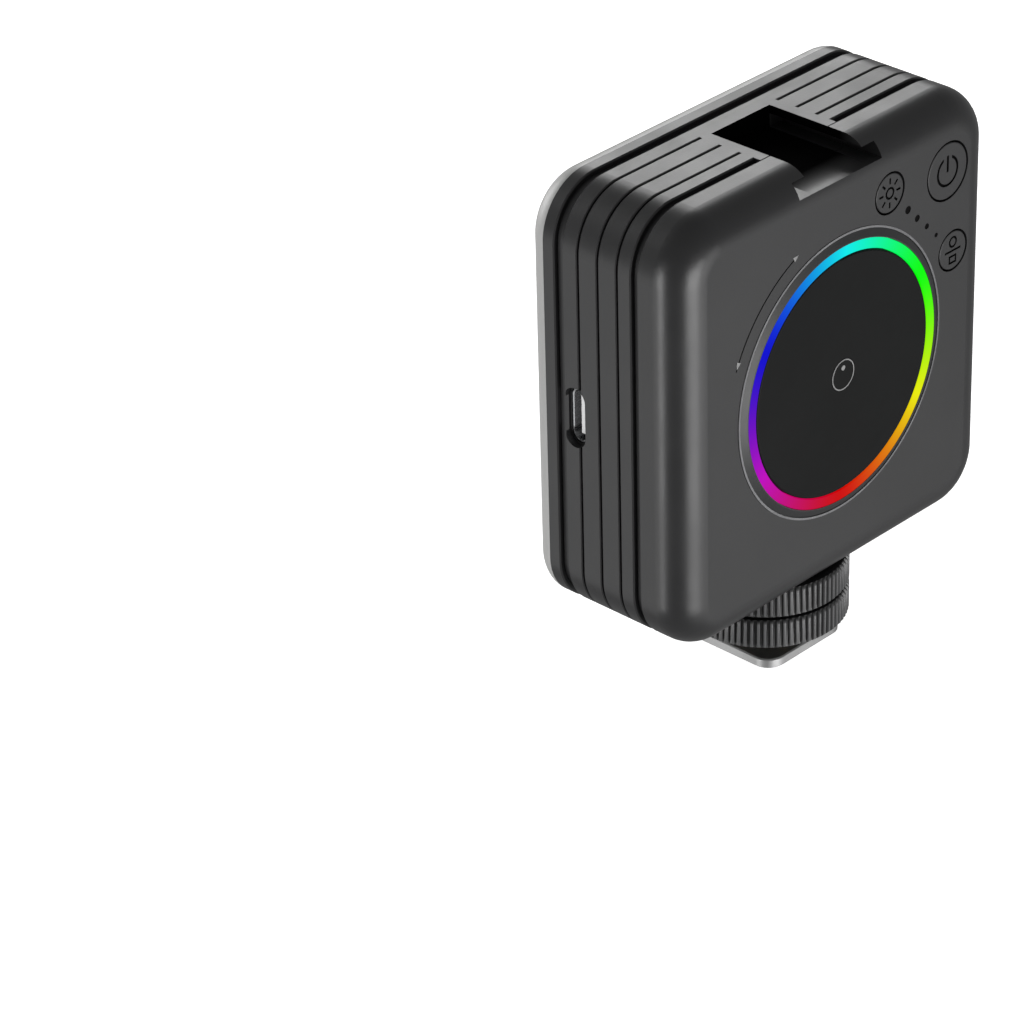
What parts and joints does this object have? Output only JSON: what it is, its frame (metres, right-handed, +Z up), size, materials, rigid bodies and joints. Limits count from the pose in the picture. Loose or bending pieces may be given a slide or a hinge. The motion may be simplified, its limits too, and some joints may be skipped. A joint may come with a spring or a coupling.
{
  "type": "pocket video light",
  "caption": "Square pocket video light with a milky panel in front, a lit control dial and buttons behind, a shoe slot on top and a cold-shoe adapter with knurled nuts below.",
  "frame": {"origin": "centre of the shoe foot's underside, on the axis of its stud", "axes": "+Z up along the stud, the diffuser faces -Y, the charging port is in the +X side"},
  "size_m": [0.07, 0.0321, 0.0856],
  "materials": {
    "shell_black": "satin moulded black",
    "diffuser_white": "milky translucent",
    "key_black": "satin black with engraved icon",
    "dial_black": "smooth black",
    "badge": "printed ring mark",
    "bezel_black": "gloss black slope",
    "trim_bright": "bright line",
    "ring_light": "lit, colours run round the ring",
    "inner_plastic": "plain",
    "indicator_smoke": "dark window",
    "board_white": "white solder mask",
    "board_green": "green solder mask",
    "led_chip": "LED package",
    "tray_white": "white reflector",
    "battery_foil": "foil pouch",
    "foam_tape": "foam",
    "steel": "plated",
    "component_black": "plain",
    "connector_white": "white connector nylon",
    "brass_thread": "turned",
    "nut_black": "knurled satin black",
    "pad_rubber": "soft",
    "foot_metal": "grey anodised",
    "stud_steel": "threaded"
  },
  "bodies": {
    "base": {"shoe_foot": "foot_metal", "shoe_stud": "stud_steel"},
    "lower_bush": {"lower_nut_bush": "brass_thread"},
    "lower_wheel": {"lower_nut": "nut_black"},
    "upper_bush": {"upper_nut_bush": "brass_thread"},
    "upper_wheel": {"upper_nut": "nut_black", "nut_pad": "pad_rubber"},
    "dial": {"dial": "dial_black", "dial_badge": "badge", "encoder_shaft": "steel"},
    "power_key": {"power_button": "key_black"},
    "light_key": {"light_button": "key_black"},
    "mode_key": {"mode_button": "key_black"},
    "light": {"battery_pack": "battery_foil", "battery_tape": "foam_tape", "board_screw_1": "steel", "board_screw_2": "steel", "board_screw_3": "steel", "color_leds": "led_chip", "control_board": "board_green", "dial_bezel": "bezel_black", "dial_carrier": "inner_plastic", "dial_trim_ring": "trim_bright", "diffuser": "diffuser_white", "encoder_body": "steel", "front_frame": "shell_black", "housing_screw_1": "steel", "housing_screw_2": "steel", "housing_screw_3": "steel", "housing_screw_4": "steel", "indicator_leds": "led_chip", "indicator_lens_1": "indicator_smoke", "indicator_lens_2": "indicator_smoke", "indicator_lens_3": "indicator_smoke", "indicator_lens_4": "indicator_smoke", "led_board": "board_white", "main_board": "board_green", "main_board_parts": "component_black", "mid_housing": "shell_black", "rear_cover": "shell_black", "reflector_tray": "tray_white", "ring_leds": "led_chip", "ring_light_guide": "ring_light", "tact_switch_light": "component_black", "tact_switch_mode": "component_black", "tact_switch_power": "component_black", "tripod_insert": "brass_thread", "usb_connector": "steel", "usb_tongue": "connector_white", "white_leds": "led_chip"}
  },
  "joints": [
    {"name": "light_swivel", "type": "hinge", "parent": "base", "child": "light", "pos_m": [0, 0, 0.015], "axis": [0, 0, 1], "range_deg": [-180, 180]},
    {"name": "lower_nut_travel", "type": "slide", "parent": "base", "child": "lower_bush", "axis": [0, 0, -1], "range_m": [0, 0.0025]},
    {"name": "lower_nut_turn", "type": "hinge", "parent": "lower_bush", "child": "lower_wheel", "pos_m": [0, 0, 0.0069], "axis": [0, 0, -1], "range_deg": [0, 710]},
    {"name": "upper_nut_travel", "type": "slide", "parent": "base", "child": "upper_bush", "axis": [0, 0, -1], "range_m": [-0.0002, 0.00045]},
    {"name": "upper_nut_turn", "type": "hinge", "parent": "upper_bush", "child": "upper_wheel", "pos_m": [0, 0, 0.0123], "axis": [0, 0, -1], "range_deg": [-57, 128]},
    {"name": "dial_turn", "type": "hinge", "parent": "light", "child": "dial", "pos_m": [0, 0.0146, 0.0503], "axis": [0, 1, 0], "continuous": true},
    {"name": "power_press", "type": "slide", "parent": "light", "child": "power_key", "axis": [0, -1, 0], "range_m": [0, 0.0003], "stiffness_N_per_m": 3000, "springref_m": -0.0001},
    {"name": "light_press", "type": "slide", "parent": "light", "child": "light_key", "axis": [0, -1, 0], "range_m": [0, 0.0003], "stiffness_N_per_m": 3000, "springref_m": -0.0001},
    {"name": "mode_press", "type": "slide", "parent": "light", "child": "mode_key", "axis": [0, -1, 0], "range_m": [0, 0.0003], "stiffness_N_per_m": 3000, "springref_m": -0.0001}
  ],
  "couplings": [
    {"joint": "lower_nut_turn", "follows": "lower_nut_travel", "rad_per_m": 4947.4},
    {"joint": "upper_nut_turn", "follows": "upper_nut_travel", "rad_per_m": 4947.4}
  ]
}
